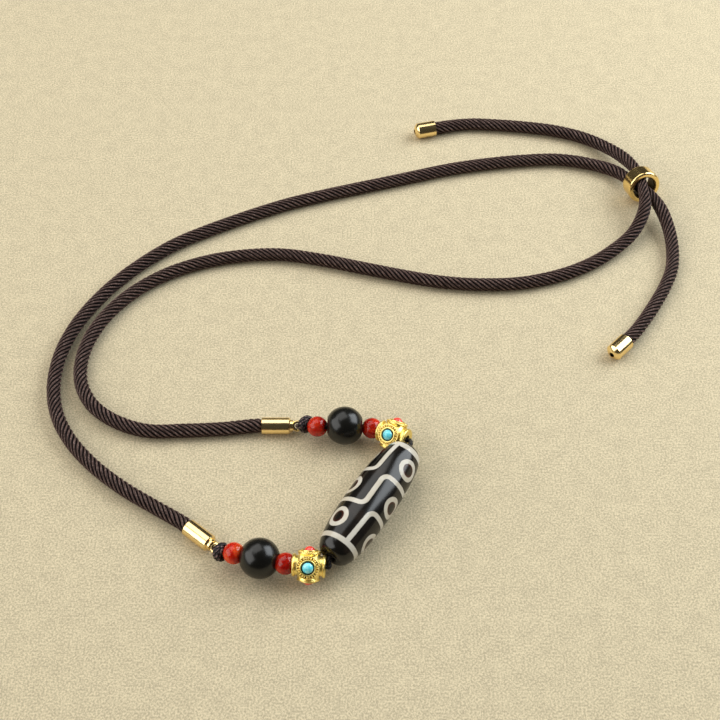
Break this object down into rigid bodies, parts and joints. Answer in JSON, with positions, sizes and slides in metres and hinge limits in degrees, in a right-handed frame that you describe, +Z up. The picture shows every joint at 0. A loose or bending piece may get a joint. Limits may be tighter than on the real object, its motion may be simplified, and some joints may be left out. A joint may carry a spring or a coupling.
{
  "type": "dzi bead necklace",
  "caption": "Braided cord necklace lying flat, with a long patterned agate bead between round black and red beads, gold spacers, a sliding ring and tipped cord ends.",
  "frame": {"origin": "on the surface it lies on, under the middle of the beads and barrels without the cords, the sliding ring and the tips", "axes": "+Z up from the surface; +X to the viewer's right, along the longer side of the bead group; +Y away from the viewer"},
  "size_m": [0.1773, 0.1653, 0.0124],
  "materials": {
    "agate": "polished black-brown agate with cream etched lines",
    "onyx": "polished black stone, satin gloss",
    "carnelian": "polished red carnelian, slightly translucent",
    "turquoise": "polished turquoise cabochon",
    "coral": "polished coral cabochon",
    "gold": "polished gold plate",
    "granulated_gold": "bright gold plate with fine grains",
    "cord": "dark brown braided polyester",
    "thread": "dark brown thread"
  },
  "bodies": {
    "root": {"dzi_bead": "agate", "front_spacer": "granulated_gold", "front_turquoise_1": "turquoise", "front_coral_1": "coral", "front_turquoise_2": "turquoise", "front_coral_2": "coral", "front_red_inner": "carnelian", "front_black_bead": "onyx", "front_red_outer": "carnelian", "front_knot": "thread", "front_barrel": "gold", "back_spacer": "granulated_gold", "back_turquoise_1": "turquoise", "back_coral_1": "coral", "back_turquoise_2": "turquoise", "back_coral_2": "coral", "back_red_inner": "carnelian", "back_black_bead": "onyx", "back_red_outer": "carnelian", "back_knot": "thread", "back_barrel": "gold", "bead_thread": "thread", "front_cord": "cord", "back_cord": "cord", "slider_ring": "gold", "front_tip": "gold", "back_tip": "gold"}
  },
  "joints": []
}
